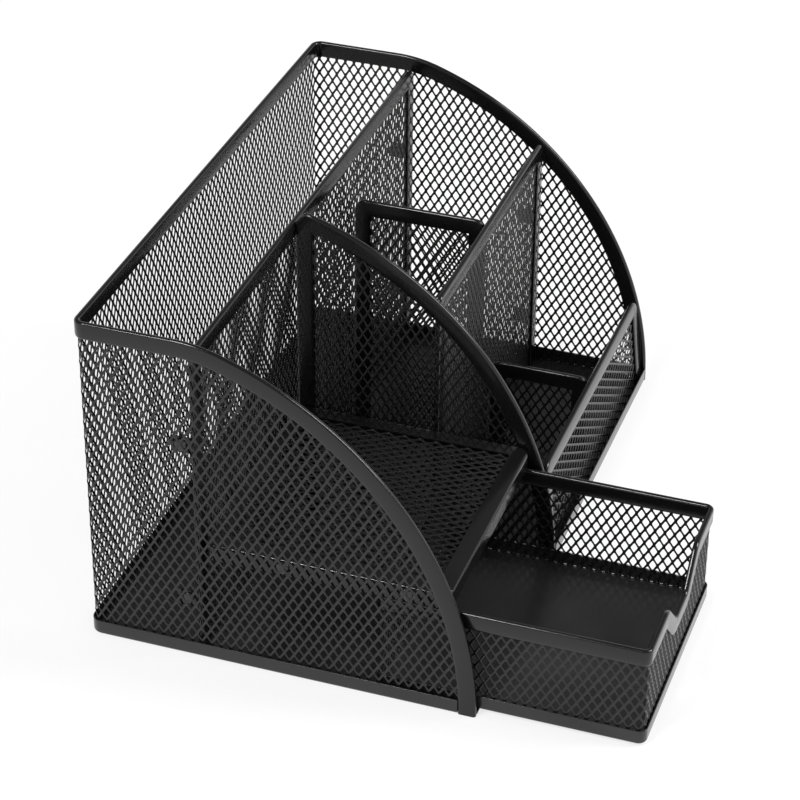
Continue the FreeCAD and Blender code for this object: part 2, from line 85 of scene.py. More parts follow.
# Pans
PAN_SHEET = 0.5
PAN_BEND = 1.1  # outer radius of a pan's bottom bend
PAN_LIP = 2.2  # how far the bent edge reaches into the floor
PAN_CHAMFER = 0.12  # on the top edge of a pan's flange
CLEAR = 0.1  # between pieces that lie side by side

# Side profile
ARC_START = 96.0  # from the front edge to where the flat top turns down
TOP_BEND = 50.0  # radius that eases the flat top into the arc

# Front wall
FRONT_WALL_LEAN = 6.0  # degrees
FRONT_WALL_SETBACK = 1.2
FRONT_WALL_TOP = 37.0
FRONT_WALL_CORNER = 6.0

# Tray
TRAY_CORNER = 4.5
TRAY_SKIRT = 6.0
TRAY_BEND = 1.2

# Drawer
DRAWER_CORNER = 3.0
NOTCH_WIDTH = 38.0
NOTCH_FLOOR = 14.0
NOTCH_DEPTH = 12.0
NOTCH_SHOULDER_R = 7.0
NOTCH_FLOOR_R = 4.0

# Welds
WELD_TAB = 7.0
WELD_TAB_HEIGHT = 6.0
WELD_TAB_ROOT = 0.3  # how far a tab starts inside its rim
WELD_D = 5.0
# A nugget's section, as rises and shares of its radius
WELD_SECTION = ((0.0, 1.0), (0.45, 1.0), (0.85, 0.82), (1.02, 0.45), (1.06, 0.0))
# Waves round a nugget: how many, their height, and their shift from weld to weld
WELD_RIPPLES = ((3, 0.1, 1.0), (5, 0.06, 2.3))
REAR_TABS = (22.0, 83.0)  # heights
FRONT_TABS = (20.0, 64.0)
TRAY_WELDS = (0.33, 0.83)  # shares of the tray's length, from its back

# Points along curves
BEND_POINTS = 6  # a fold or bend in a section
CORNER_STEPS = 7  # a rounded corner of an outline
ARC_POINTS = 60  # the arc of a side or of the middle panel
EASE_POINTS = 12  # the easing into a side's arc
TURN_POINTS = 9  # a bend of the outer wall, or the middle panel's top corner
DRAWER_TURN_POINTS = 7  # a bend of the drawer's wall
WELD_POINTS = 20

# Tolerances
SAME = 1e-4  # vertices this near are one
FLAT = 1e-5  # an edge or a distance to a cut this short counts as none
TINY = 1e-6  # a length under this is a rounding error

# Powder coat
COAT_IOR = 1.46
COAT_TINT = {"Red": 1.0, "Green": 1.0, "Blue": 1.04}
TONE_DRIFT = (0.8, 1.2)
GLOSS_DRIFT = 0.04
DRIFT_SCALE = 35.0
PEEL_SCALE = 2600.0
PEEL_STRENGTH = 0.2
PEEL_DEPTH = 0.00005  # metres
NOISE_RANGE = (0.3, 0.7)  # where nearly all values of a noise lie

# Studio, in metres and watts
FLOOR_REACH = 6.0
PAPER = 0.9
FLOOR_WHITE = 0.75  # how far the floor keeps to pure white in view
AMBIENT = 0.5  # strength of the surround's light on what it lights
BACKDROP_TOP = (0.25, 0.5)  # height on the unit sky where the backdrop fades
CEILING = 0.22  # brightness above the backdrop
LIGHTS_AIM = (0, 0, 0.05)
SOFTBOXES = (  # name, place, size and power
    ("key", (-1.0, 0.5, 1.6), (0.45, 0.45), 20.0),
    ("front", (0.38, -1.1, 1.1), (0.5, 0.9), 20.0),
)

# Camera, fitted to the photo
CAMERA_ANGLES = (-71.3591, 32.7872, 0.5599)  # azimuth, elevation and roll
CAMERA_OFFSET = (-60.186, 47.533, 972.752)  # right, up and back of the fit's origin
CAMERA_LENS = 122.25
CAMERA_SENSOR = 36.0

STRAIGHT = 1e9  # the radius of a straight run


def box_mm(node):
    """Lowest and highest corner of a CAD node, in millimetres."""
    low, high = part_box(node)
    return low / MM, high / MM


# -------------------------------------------------------------- objects


def new_piece(name, mesh, body, slot, *replaced):
    """Link a finished mesh as a piece that rides on a body and stands for CAD nodes."""
    piece = bpy.data.objects.new(name, mesh)
    bpy.context.scene.collection.objects.link(piece)
    mesh.materials.append(COATS[slot])
    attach(piece, body)
    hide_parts(*replaced)


def finish_mesh(name, bm, sharp_angle=40.0):
    """Mesh of a bmesh in millimetres, smooth apart from its sharp edges."""
    bmesh.ops.scale(bm, vec=(MM, MM, MM), verts=bm.verts)
    mesh = bpy.data.meshes.new(name)
    bm.to_mesh(mesh)
    bm.free()
    mesh.shade_smooth()
    mesh.set_sharp_from_angle(angle=math.radians(sharp_angle))
    return mesh


def mirrored(place, u, v):
    """Whether a place function turns the flat drawing inside out at this point."""
    step = 0.01
    origin = np.array(place(u, v, 0.0))
    along = np.array(place(u + step, v, 0.0)) - origin
    up = np.array(place(u, v + step, 0.0)) - origin
    out = np.array(place(u, v, step)) - origin
    return float(np.dot(np.cross(along, up), out)) < 0


# ------------------------------------------------------- expanded metal


def diamond_centres(low, high, pitch):
    """Half-pitch indices of the diamonds whose centres lie in a window."""
    columns, rows = (
        np.arange(math.floor(first / (step / 2)), math.ceil(last / (step / 2)) + 1)
        for first, last, step in zip(low, high, pitch)
    )
    i, j = (grid.ravel() for grid in np.meshgrid(columns, rows))
    whole = (i + j) % 2 == 0
    return i[whole], j[whole]


def lattice_points(i, j, pitch):
    """Places (u, v) of half-pitch indices."""
    return np.stack([i * pitch[0] / 2, j * pitch[1] / 2], 1)


def opening_outline():
    """One opening round its centre, clockwise from the right end of its upper tip.

    It is a blunt diamond, flat beside the knuckles and across its tips.
    """
    upper_right = [(OPEN_TIP / 2, OPEN_HEIGHT / 2), (OPEN_WIDTH / 2, OPEN_SIDE / 2)]
    right_half = upper_right + [(u, -v) for u, v in upper_right[::-1]]
    return np.array(right_half + [(-u, v) for u, v in right_half[::-1]])


def strand_vertices(i, j, knuckle_places, pitch):
    """Both faces of the knuckles, then three rings round each opening."""
    knuckles = np.zeros((len(knuckle_places), 3))
    knuckles[:, :2] = lattice_points(*knuckle_places.T, pitch)
    layers = [knuckles + (0, 0, SHEET / 2), knuckles - (0, 0, SHEET / 2)]
    opening = opening_outline()
    wider = opening * (1 + ROUNDING / (OPEN_WIDTH / 2))
    centres = lattice_points(i, j, pitch)
    edge = SHEET_EDGE / 2
    for outline, height in ((wider, edge), (opening, 0.0), (wider, -edge)):
        ring = np.zeros((len(i), len(opening), 3))
        ring[:, :, :2] = centres[:, None, :] + outline[None]
        ring[:, :, 2] = height - TILT * outline[:, 0] / (OPEN_WIDTH / 2)
        layers.append(ring.reshape(-1, 3))
    return np.concatenate(layers)


def strand_lattice(i, j, pitch):
    """Vertices (u, v, n) and faces of the strands round the given diamonds."""
    corner_steps = np.array([(1, 0), (0, 1), (-1, 0), (0, -1)])
    around = np.stack([i, j], 1)[:, None] + corner_steps[None]
    knuckle_places, inverse = np.unique(around.reshape(-1, 2), axis=0, return_inverse=True)
    count = len(knuckle_places)
    points = len(opening_outline())
    cells = np.arange(len(i))
    front, middle, back = (
        (2 * count + points * (k * len(i) + cells[:, None]) + np.arange(points)[None]).T
        for k in range(3)
    )
    right, top, left, bottom = inverse.reshape(-1, 4).T
    quads, triangles = [], []

    # Faces from the knuckles to an opening's ring, on the front and on the back:
    # a slanting side from the last knuckle to this one, then the flat beside this one
    clockwise = (right, bottom, left, top)
    for ring, offset, turn in ((front, 0, 1), (back, count, -1)):
        for k in range(len(clockwise)):
            knuckle, last = clockwise[k] + offset, clockwise[k - 1] + offset
            start, end, after = ring[2 * k], ring[2 * k + 1], ring[(2 * k + 2) % points]
            quads.append(np.stack((start, end, knuckle, last)[::turn], 1))
            triangles.append(np.stack((end, after, knuckle)[::turn], 1))

    # The opening's wall, through the sheet
    for upper, lower in ((front, middle), (middle, back)):
        for k in range(points):
            after = (k + 1) % points
            quads.append(np.stack((upper[k], lower[k], lower[after], upper[after]), 1))

    # Close the cut strands round the outside
    ends = ((top, right), (right, bottom), (bottom, left), (left, top))
    sides = np.concatenate([np.stack(pair, 1) for pair in ends])
    _, index, uses = np.unique(
        np.sort(sides, 1), axis=0, return_index=True, return_counts=True
    )
    a, b = sides[index[uses == 1]].T
    quads.append(np.stack((a, b, b + count, a + count), 1))
    faces = np.concatenate(quads).tolist() + np.concatenate(triangles).tolist()
    return strand_vertices(i, j, knuckle_places, pitch), faces


def cut(bm, point, outward):
    """Cut away what lies beyond a plane and close the cut strands."""
    geometry = list(bm.verts) + list(bm.edges) + list(bm.faces)
    result = bmesh.ops.bisect_plane(
        bm,
        geom=geometry,
        dist=FLAT,
        plane_co=point,
        plane_no=outward,
        clear_outer=True,
    )
    edges = [e for e in result["geom_cut"] if isinstance(e, bmesh.types.BMEdge)]
    bmesh.ops.edgenet_fill(bm, edges=[e for e in edges if e.is_boundary])


def below(v):
    """Cut that takes away what lies under a height of the flat drawing."""
    return (0, v, 0), (0, -1, 0)


def expanded_metal(
    name, window, place, cuts, clamp, keep, pitch=(SHORT, LONG), turned=False
):
    """A sheet of expanded metal over a window of the flat drawing.

    The cuts are planes (point, outward) in the flat drawing. The clamp draws
    hidden strand ends in under the rim, and keep says which diamonds are made. The
    long diagonals run up the sheet, or along it where it is turned.
    """
    low, high = window
    axes = [1, 0, 2] if turned else [0, 1, 2]
    i, j = diamond_centres(*(corner[::-1] if turned else corner for corner in window), pitch)
    centres = lattice_points(i, j, pitch)
    wanted = keep(*(centres[:, ::-1] if turned else centres).T)
    vertices, faces = strand_lattice(i[wanted], j[wanted], pitch)
    vertices = vertices[:, axes]
    vertices[:, 0], vertices[:, 1] = clamp(vertices[:, 0], vertices[:, 1])
    if mirrored(place, (low[0] + high[0]) / 2, (low[1] + high[1]) / 2) != turned:
        faces = [face[::-1] for face in faces]
    flat = bpy.data.meshes.new(name)
    flat.from_pydata(vertices.tolist(), [], faces)
    bm = bmesh.new()
    bm.from_mesh(flat)
    bpy.data.meshes.remove(flat)
    for point, outward in cuts:
        cut(bm, point, outward)
    for vertex in bm.verts:
        vertex.co = place(*vertex.co)
    return finish_mesh(name, bm, sharp_angle=75.0)


# ---------------------------------------------------------------- rims


def arc_points(centre, radius, start, end, count):
    """Points of an arc, from the angle start to the angle end."""
    return [
        (centre[0] + radius * math.cos(angle), centre[1] + radius * math.sin(angle))
        for angle in np.linspace(start, end, count)
    ]


def station(point, inward, reach=STRAIGHT, beyond=(0.0, 0.0)):
    """One place along a rim, as the function from a depth under its outline to a point.

    Past the reach, which is the centre of a rounded corner, the way turns to the
    corner's mitre.
    """
    point, inward, beyond = (np.array(v, float) for v in (point, inward, beyond))
    return lambda depth: (
        point + inward * min(depth, reach) + beyond * max(depth - reach, 0.0)
    )


def unit(vector):
    """The same direction with a length of 1."""
    return vector / np.linalg.norm(vector)


def left_of(along):
    """The direction to the left of another."""
    return np.array((-along[1], along[0]))


def run_stations(a, b, stops):
    """Stations on a straight run, at the stops that lie inside it."""
    inward = left_of(unit(b - a))
    inside = [stop for stop in stops if min(a[0], b[0]) < stop < max(a[0], b[0])]
    found = []
    for stop in sorted(inside, reverse=bool(a[0] > b[0])):
        share = (stop - a[0]) / (b[0] - a[0])
        found.append(station(a + share * (b - a), inward))
    return found


def corner_stations(before, corner, after, radius):
    """Stations round a rounded corner of an outline."""
    ahead, behind = unit(after - corner), unit(before - corner)
    turn = -behind[0] * ahead[1] + behind[1] * ahead[0]
    mitre = (left_of(-behind) + left_of(ahead)) / (1 + np.dot(-behind, ahead))
    half = math.acos(np.clip(np.dot(behind, ahead), -1, 1)) / 2
    reach = radius / math.tan(half)
    centre = corner + unit(behind + ahead) * radius / math.sin(half)
    x, y = corner + behind * reach - centre
    swing = math.pi - 2 * half

    # Inside a turn to the left, the way in ends at the arc's centre and goes on
    # along the mitre. Inside a turn to the right it never meets the next one.
    found = []
    for k in range(CORNER_STEPS + 1):
        angle = (swing if turn > 0 else -swing) * k / CORNER_STEPS
        cosine, sine = math.cos(angle), math.sin(angle)
        spoke = np.array((x * cosine - y * sine, x * sine + y * cosine))
        if turn > 0:
            found.append(station(centre + spoke, -spoke / radius, radius, mitre))
        else:
            found.append(station(centre + spoke, spoke / radius))
    return found


def path_stations(points, radii, closed=False, stops=()):
    """Stations along an outline whose metal lies on its left.

    Each corner has a radius, apart from the two ends of an open outline. Stops are
    values of u at which a straight run gets stations of its own, where the sheet
    is bent.
    """
    corners = [np.array(p, float) for p in points]
    count = len(corners)
    groups = [
        corner_stations(corners[k - 1], corners[k], corners[(k + 1) % count], radius)
        for k, radius in enumerate(radii, 0 if closed else 1)
    ]
    if not closed:
        first, second, *_, before, last = corners
        groups.insert(0, [station(first, left_of(unit(second - first)))])
        groups.append([station(last, left_of(unit(last - before)))])
    stations = list(groups[0])
    for group in groups[1:]:
        stations += run_stations(stations[-1](0), group[0](0), stops) + group
    if closed:
        stations += run_stations(stations[-1](0), stations[0](0), stops)
    return stations


def join_rings(bm, one, two, loop=True):
    """Strip of faces between two rings of vertices, closed or left open."""
    size = len(one)
    for k in range(size if loop else size - 1):
        after = (k + 1) % size
        bm.faces.new((one[k], one[after], two[after], two[k]))


def sweep(bm, stations, profile, place, closed=False, capped=True, loop=True):
    """Sweep a profile of (depth, n) along the stations into a bmesh.

    Without the loop the profile's last point isn't joined to its first.
    """
    rings = []
    for at in stations:
        rings.append([bm.verts.new(place(*at(depth), n)) for depth, n in profile])
    back_to_start = rings[:1] if closed else []
    for one, two in zip(rings, rings[1:] + back_to_start):
        join_rings(bm, one, two, loop)
    if not closed and capped:
        bm.faces.new(rings[0][::-1])
        bm.faces.new(rings[-1])
    return rings


def pan_section(height):
    """Section of a pan's edge, open to the floor: lip, bottom bend and upright flange."""
    turn = (PAN_BEND, PAN_BEND)
    outer = arc_points(turn, PAN_BEND, -math.pi / 2, -math.pi, BEND_POINTS)
    inner = arc_points(turn, PAN_BEND - PAN_SHEET, -math.pi, -math.pi / 2, BEND_POINTS)
    top = [
        (0.0, height - PAN_CHAMFER),
        (PAN_CHAMFER, height),
        (PAN_SHEET - PAN_CHAMFER, height),
        (PAN_SHEET, height - PAN_CHAMFER),
    ]
    return [(PAN_LIP, 0.0), *outer, *top, *inner, (PAN_LIP, PAN_SHEET)]


def add_plate(bm, outline, walled, low, high):
    """Level plate over a plan outline, with a side wall after each marked corner."""
    under = [bm.verts.new((u, v, low)) for u, v in outline]
    over = [bm.verts.new((u, v, high)) for u, v in outline]
    bm.faces.new(under[::-1])
    bm.faces.new(over)
    for k, wall in enumerate(walled):
        after = (k + 1) % len(outline)
        if wall:
            bm.faces.new((under[k], under[after], over[after], over[k]))


def clean(bm):
    """Join coincident vertices, drop empty faces and turn the normals outward."""
    bmesh.ops.remove_doubles(bm, verts=bm.verts, dist=SAME)
    bmesh.ops.dissolve_degenerate(bm, edges=bm.edges, dist=FLAT)
    bmesh.ops.recalc_face_normals(bm, faces=bm.faces)


def rim_profile():
    """Closed section of a folded strip: two leaves, a round crown and tucked edges."""
    half = RIM_T / 2
    slot = half - RIM_SHEET
    free = [
        (RIM_WIDTH, slot - TUCK),
        (RIM_WIDTH, half - TUCK - LEAF_CHAMFER),
        (RIM_WIDTH - LEAF_CHAMFER, half - TUCK),
        (RIM_WIDTH - TUCK_LENGTH, half),
    ]
    crown = arc_points((CROWN, half - CROWN), CROWN, math.pi / 2, math.pi, BEND_POINTS)
    outer = free + crown
    outer += [(depth, -n) for depth, n in reversed(outer)]
    inner = [
        (RIM_WIDTH - TUCK_LENGTH, slot),
        (RIM_SHEET + FOLD_CHAMFER, slot),
        (RIM_SHEET, slot - FOLD_CHAMFER),
    ]
    inner = [(depth, -n) for depth, n in inner] + inner[::-1]
    return outer + inner


# ------------------------------------------------- places from the frame

SIDE_LOW, SIDE_HIGH = box_mm("left_side_rim")
FRONT_Y = SIDE_LOW.y
SIDE_X = -(SIDE_LOW.x + SIDE_HIGH.x) / 2
SIDE_TOP = SIDE_HIGH.z
BACK_LOW, BACK_HIGH = box_mm("back_rim")
BACK_Y = BACK_HIGH.y - RIM_T / 2
BEND_Y = BACK_LOW.y
FLOOR_TOP = box_mm("back_mesh")[0].z
ARC_R = (ARC_START**2 + SIDE_TOP**2) / (2 * ARC_START)  # the arc stands upright on the base
ARC_Y = FRONT_Y + ARC_R  # its centre

OUTER_FLAT = SIDE_X + RIM_T / 2 - WALL_CORNER  # half the back's straight width
OUTER_BEND_R = WALL_CORNER - RIM_T / 2
OUTER_BEND = OUTER_BEND_R * math.pi / 2
OUTER_SIDE = OUTER_FLAT + OUTER_BEND  # where the side walls begin, along u

DRAWER_LOW, DRAWER_HIGH = box_mm("drawer_rim")
DRAWER_X = (DRAWER_LOW.x + DRAWER_HIGH.x) / 2
DRAWER_FLAT = (DRAWER_HIGH.x - DRAWER_LOW.x) / 2 - DRAWER_CORNER
DRAWER_BEND_R = DRAWER_CORNER - RIM_T / 2
DRAWER_BEND = DRAWER_BEND_R * math.pi / 2
DRAWER_SIDE = DRAWER_HIGH.y - DRAWER_LOW.y - 2 * DRAWER_CORNER
DRAWER_HALF_GIRTH = 2 * DRAWER_FLAT + 2 * DRAWER_BEND + DRAWER_SIDE
DRAWER_PITCHES = 2 * round(DRAWER_HALF_GIRTH / SHORT)  # all round, where the mesh meets itself
DRAWER_SHORT = 2 * DRAWER_HALF_GIRTH / DRAWER_PITCHES


def wrap_outer(u, v, n):
    """Back wall at u = 0, then round the corners and forward along the sides."""
    side, reach = (1, u) if u >= 0 else (-1, -u)
    if reach <= OUTER_FLAT:
        return (-u, BACK_Y + n, v)
    if reach <= OUTER_SIDE:
        angle = (reach - OUTER_FLAT) / OUTER_BEND_R
        x = OUTER_FLAT + (OUTER_BEND_R + n) * math.sin(angle)
        return (-side * x, BEND_Y + (OUTER_BEND_R + n) * math.cos(angle), v)
    return (-side * (SIDE_X + n), BEND_Y - (reach - OUTER_SIDE), v)


def wrap_drawer(u, v, n):
    """Drawer front at u = 0, then back along both sides to the middle of the rear."""
    side, reach = (1, u) if u >= 0 else (-1, -u)
    front, rear = DRAWER_LOW.y + DRAWER_CORNER, DRAWER_HIGH.y - DRAWER_CORNER
    edge = DRAWER_FLAT
    if reach <= edge:
        return (DRAWER_X + u, front - DRAWER_BEND_R - n, v)
    edge += DRAWER_BEND
    if reach <= edge:
        angle = (reach - DRAWER_FLAT) / DRAWER_BEND_R
        x = DRAWER_FLAT + (DRAWER_BEND_R + n) * math.sin(angle)
        return (DRAWER_X + side * x, front - (DRAWER_BEND_R + n) * math.cos(angle), v)
    if reach <= edge + DRAWER_SIDE:
        x = DRAWER_FLAT + DRAWER_BEND_R + n
        return (DRAWER_X + side * x, front + reach - edge, v)
    edge += DRAWER_SIDE
    if reach <= edge + DRAWER_BEND:
        angle = (reach - edge) / DRAWER_BEND_R
        x = DRAWER_FLAT + (DRAWER_BEND_R + n) * math.cos(angle)
        return (DRAWER_X + side * x, rear + (DRAWER_BEND_R + n) * math.sin(angle), v)
    x = DRAWER_FLAT - (reach - edge - DRAWER_BEND)
    return (DRAWER_X + side * x, rear + DRAWER_BEND_R + n, v)


def across_x(x):
    """Place of a wall that runs front to back: u is Y."""
    return lambda u, v, n: (x + n, u, v)


def across_y(y):
    """Place of a wall that runs left to right: u is X."""
    return lambda u, v, n: (u, y - n, v)


def level(z):
    """Place of a level sheet, drawn in plan: u is X and v is Y."""
    return lambda u, v, n: (u, v, z + n)


# --------------------------------------------------------------- shading


class Graph:
    """Adds nodes to a node tree and links them."""

    def __init__(self, tree):
        self.tree = tree
        tree.nodes.clear()

    def feed(self, socket, value):
        """Set an input, or link it where the value is another node's output."""
        if isinstance(value, bpy.types.NodeSocket):
            self.tree.links.new(value, socket)
        else:
            socket.default_value = value

    def add(self, kind, **inputs):
        """Add a node, with values or links for its inputs."""
        node = self.tree.nodes.new(kind)
        for name, value in inputs.items():
            self.feed(node.inputs[name.replace("_", " ")], value)
        return node

    def math(self, operation, a, b):
        """Output of a two-value math node."""
        node = self.tree.nodes.new("ShaderNodeMath")
        node.operation = operation
        for socket, value in zip(node.inputs, (a, b)):
            self.feed(socket, value)
        return node.outputs[0]

    def map_range(self, value, source, target, interpolation="LINEAR"):
        """Output of a node that maps one range on another."""
        node = self.add(
            "ShaderNodeMapRange",
            Value=value,
            From_Min=source[0],
            From_Max=source[1],
            To_Min=target[0],
            To_Max=target[1],
        )
        node.interpolation_type = interpolation
        return node.outputs["Result"]


def powder_coat(name, shade, roughness):
    """Black powder coat: fine orange peel and a faint drift of tone and gloss."""
    material = bpy.data.materials.new(name)
    material.use_nodes = True
    graph = Graph(material.node_tree)
    where = graph.add("ShaderNodeTexCoord").outputs["Object"]
    broad = graph.add("ShaderNodeTexNoise", Vector=where, Scale=DRIFT_SCALE, Detail=3.0)
    peel = graph.add("ShaderNodeTexNoise", Vector=where, Scale=PEEL_SCALE, Detail=2.0)
    drift = graph.map_range(broad.outputs["Fac"], NOISE_RANGE, TONE_DRIFT)
    colour = graph.add("ShaderNodeCombineColor")
    for channel, tint in COAT_TINT.items():
        graph.feed(colour.inputs[channel], graph.math("MULTIPLY", drift, shade * tint))
    gloss_range = (roughness - GLOSS_DRIFT, roughness + GLOSS_DRIFT)
    gloss = graph.map_range(peel.outputs["Fac"], NOISE_RANGE, gloss_range)
    bump = graph.add(
        "ShaderNodeBump",
        Height=peel.outputs["Fac"],
        Strength=PEEL_STRENGTH,
        Distance=PEEL_DEPTH,
    )
    shader = graph.add(
        "ShaderNodeBsdfPrincipled",
        Base_Color=colour.outputs["Color"],
        Roughness=gloss,
        Normal=bump.outputs["Normal"],
        IOR=COAT_IOR,
    )
    graph.add("ShaderNodeOutputMaterial", Surface=shader.outputs["BSDF"])
    return material


def seen_directly(graph):
    """Whether a ray has to see a white surround, and whether it comes from the camera."""
    path = graph.add("ShaderNodeLightPath").outputs
    in_view = path["Is Camera Ray"]
    direct = graph.math("MAXIMUM", in_view, path["Is Glossy Ray"])
    return graph.math("MAXIMUM", direct, path["Is Transmission Ray"]), in_view


def studio_floor():
    """Wide pale floor that stays white in view and keeps a faint shadow."""
    mesh = bpy.data.meshes.new("studio_floor")
    signs = ((-1, -1), (1, -1), (1, 1), (-1, 1))
    corners = [(FLOOR_REACH * x, FLOOR_REACH * y, 0) for x, y in signs]
    mesh.from_pydata(corners, [], [(0, 1, 2, 3)])
    floor = bpy.data.objects.new("studio_floor", mesh)
    bpy.context.scene.collection.objects.link(floor)
    material = bpy.data.materials.new("studio_paper")
    material.use_nodes = True
    graph = Graph(material.node_tree)
    paper = graph.add("ShaderNodeBsdfDiffuse", Color=(PAPER, PAPER, PAPER, 1.0))
    glow = graph.add("ShaderNodeEmission", Color=(1.0, 1.0, 1.0, 1.0), Strength=1.0)
    seen, _ = seen_directly(graph)
    share = graph.math("MULTIPLY", seen, FLOOR_WHITE)
    mix = graph.add("ShaderNodeMixShader", Fac=share)
    for socket, surface in zip(list(mix.inputs)[1:], (paper, glow)):
        graph.feed(socket, surface.outputs[0])
    graph.add("ShaderNodeOutputMaterial", Surface=mix.outputs["Shader"])
    mesh.materials.append(material)


def studio_world():
    """White backdrop, dimmer above it in reflections, and a plain even light."""
    world = bpy.data.worlds.new("studio")
    bpy.context.scene.world = world
    world.use_nodes = True
    graph = Graph(world.node_tree)
    where = graph.add("ShaderNodeTexCoord").outputs["Generated"]
    height = graph.add("ShaderNodeSeparateXYZ", Vector=where).outputs["Z"]
    backdrop = graph.map_range(height, BACKDROP_TOP, (1.0, CEILING), "SMOOTHSTEP")
    seen, in_view = seen_directly(graph)
    mix = graph.add("ShaderNodeMix", Factor=seen, A=AMBIENT, B=backdrop)
    strength = graph.math("MAXIMUM", mix.outputs["Result"], in_view)
    white = (1.0, 1.0, 1.0, 1.0)
    sky = graph.add("ShaderNodeBackground", Color=white, Strength=strength)
    graph.add("ShaderNodeOutputWorld", Surface=sky.outputs["Background"])


def softbox(name, place, size, power):
    """Area light at a place, turned to the part."""
    light = bpy.data.lights.new(name, "AREA")
    light.shape = "RECTANGLE"
    light.size, light.size_y = size
    light.energy = power
    lamp = bpy.data.objects.new(name, light)
    bpy.context.scene.collection.objects.link(lamp)
    lamp.location = place
    aim = Vector(LIGHTS_AIM) - Vector(place)
    lamp.rotation_euler = aim.to_track_quat("-Z", "Y").to_euler()


def set_camera():
    """Camera fitted to the photo."""
    azimuth, elevation, roll = (math.radians(a) for a in CAMERA_ANGLES)
    back = Vector(
        (
            math.sin(azimuth) * math.cos(elevation),
            -math.cos(azimuth) * math.cos(elevation),
            math.sin(elevation),
        )
    )
    level_right = Vector((math.cos(azimuth), math.sin(azimuth), 0))
    level_up = back.cross(level_right)
    right = level_right * math.cos(roll) + level_up * math.sin(roll)
    up = level_up * math.cos(roll) - level_right * math.sin(roll)
    axes = Matrix((right, up, back)).transposed()
    across, above, away = CAMERA_OFFSET
    place = (right * across + up * above + back * away) * MM
    place.y += FRONT_Y * MM
    data = bpy.data.cameras.new("camera")
    data.sensor_width = CAMERA_SENSOR
    data.lens = CAMERA_LENS
    camera = bpy.data.objects.new("camera", data)
    bpy.context.scene.collection.objects.link(camera)
    camera.matrix_world = Matrix.Translation(place) @ axes.to_4x4()
    bpy.context.scene.camera = camera


# --------------------------------------------------------------- outlines


def arc_stations(centre, radius, start, end, count):
    """Stations along an arc, with the metal on the side of its centre."""
    return [
        station(point, (np.array(centre) - point) / radius)
        for point in map(np.array, arc_points(centre, radius, start, end, count))
    ]


def nearest_on(stations, closed=False):
    """Function from points to their inset from an outline and its nearest place."""
    points = np.array([at(0) for at in stations])
    if closed:
        points = np.concatenate([points, points[:1]])
    start, step = points[:-1], np.diff(points, axis=0)
    length = np.hypot(*step.T)
    kept = length > TINY
    start, step, length = (values[kept] for values in (start, step, length))
    inward = np.stack((-step[:, 1], step[:, 0]), 1) / length[:, None]

    def nearest(u, v):
        offset = np.stack((u, v), 1)[:, None] - start[None]
        share = np.clip((offset * step).sum(2) / length**2, 0, 1)
        away = offset - share[..., None] * step
        rows = np.arange(len(u))
        best = np.hypot(away[..., 0], away[..., 1]).argmin(1)
        foot = start[best] + share[rows, best, None] * step[best]
        inset = (away[rows, best] * inward[best]).sum(1)
        return inset, foot, inward[best]

    return nearest


def sheet_in(
    name, stations, place, window, cuts, closed=False, keep=None, **lattice
):
    """Expanded metal filling an outline: hidden ends under the rim, cuts elsewhere."""
    nearest = nearest_on(stations, closed)

    def covered(u, v):
        wanted = nearest(u, v)[0] > RIM_WIDTH - LONG / 2
        return wanted if keep is None else wanted & keep(u, v)

    def clamp(u, v):
        inset, foot, inward = nearest(u, v)
        outside = (inset < MESH_INSET)[:, None]
        drawn = np.where(outside, foot + MESH_INSET * inward, np.stack((u, v), 1))
        return drawn[:, 0], drawn[:, 1]

    return expanded_metal(name, window, place, cuts, clamp, covered, **lattice)


def rim_mesh(name, stations, place, profile, closed=False, tabs=()):
    """Folded strip swept along an outline, with any welding tabs on it."""
    bm = bmesh.new()
    sweep(bm, stations, profile, place, closed)
    for tab in tabs:
        add_block(bm, *tab)
    clean(bm)
    return finish_mesh(name, bm)


def add_block(bm, low, high):
    """Box between two corners."""
    corners = [bm.verts.new(corner) for corner in itertools.product(*zip(low, high))]
    for face in (
        (0, 1, 3, 2),
        (4, 6, 7, 5),
        (0, 4, 5, 1),
        (2, 3, 7, 6),
        (0, 2, 6, 4),
        (1, 5, 7, 3),
    ):
        bm.faces.new([corners[k] for k in face])


def add_wall(name, stations, place, window, cuts, sheet_outline=None, tabs=(), **lattice):
    """Sheet and rim of one wall of the stand.

    The sheet follows the rim's outline, or one of its own that goes on past a cut.
    """
    outline = sheet_outline or stations
    sheet = sheet_in(f"{name}_sheet", outline, place, window, cuts, **lattice)
    new_piece(f"{name}_sheet", sheet, "stand", "mesh_coat", f"{name}_mesh")
    rim = rim_mesh(f"{name}_edging", stations, place, rim_profile(), tabs=tabs)
    new_piece(f"{name}_edging", rim, "stand", "rim_coat", f"{name}_rim")


# ------------------------------------------------------------ outer walls


def on_top(u, top):
    """Station on a wall's level top edge."""
    return station((u, top), (0.0, -1.0))


def side_stations():
    """Outline of the left side in the outer wrap, from the table to the bend."""
    centre = (OUTER_SIDE + BEND_Y - ARC_Y, 0.0)
    drop = SIDE_TOP - TOP_BEND
    ahead = math.sqrt((ARC_R - TOP_BEND) ** 2 - drop**2)
    turn = math.atan2(drop, ahead)
    stations = arc_stations(centre, ARC_R, 0.0, turn, ARC_POINTS)
    eased = (centre[0] + ahead, drop)
    stations += arc_stations(eased, TOP_BEND, turn, math.pi / 2, EASE_POINTS)[1:]
    return [*stations, on_top(OUTER_SIDE, SIDE_TOP)]


def flipped(stations):
    """The same outline for the other side of the wrap."""
    flip = np.array((-1.0, 1.0))
    return [lambda depth, at=at: at(depth) * flip for at in reversed(stations)]


def back_stations():
    """Outline of the back's top with stations through both bends."""
    bend = np.linspace(OUTER_FLAT, OUTER_SIDE, TURN_POINTS)
    return [on_top(u, SIDE_TOP) for u in (*bend[::-1], *(-bend))]


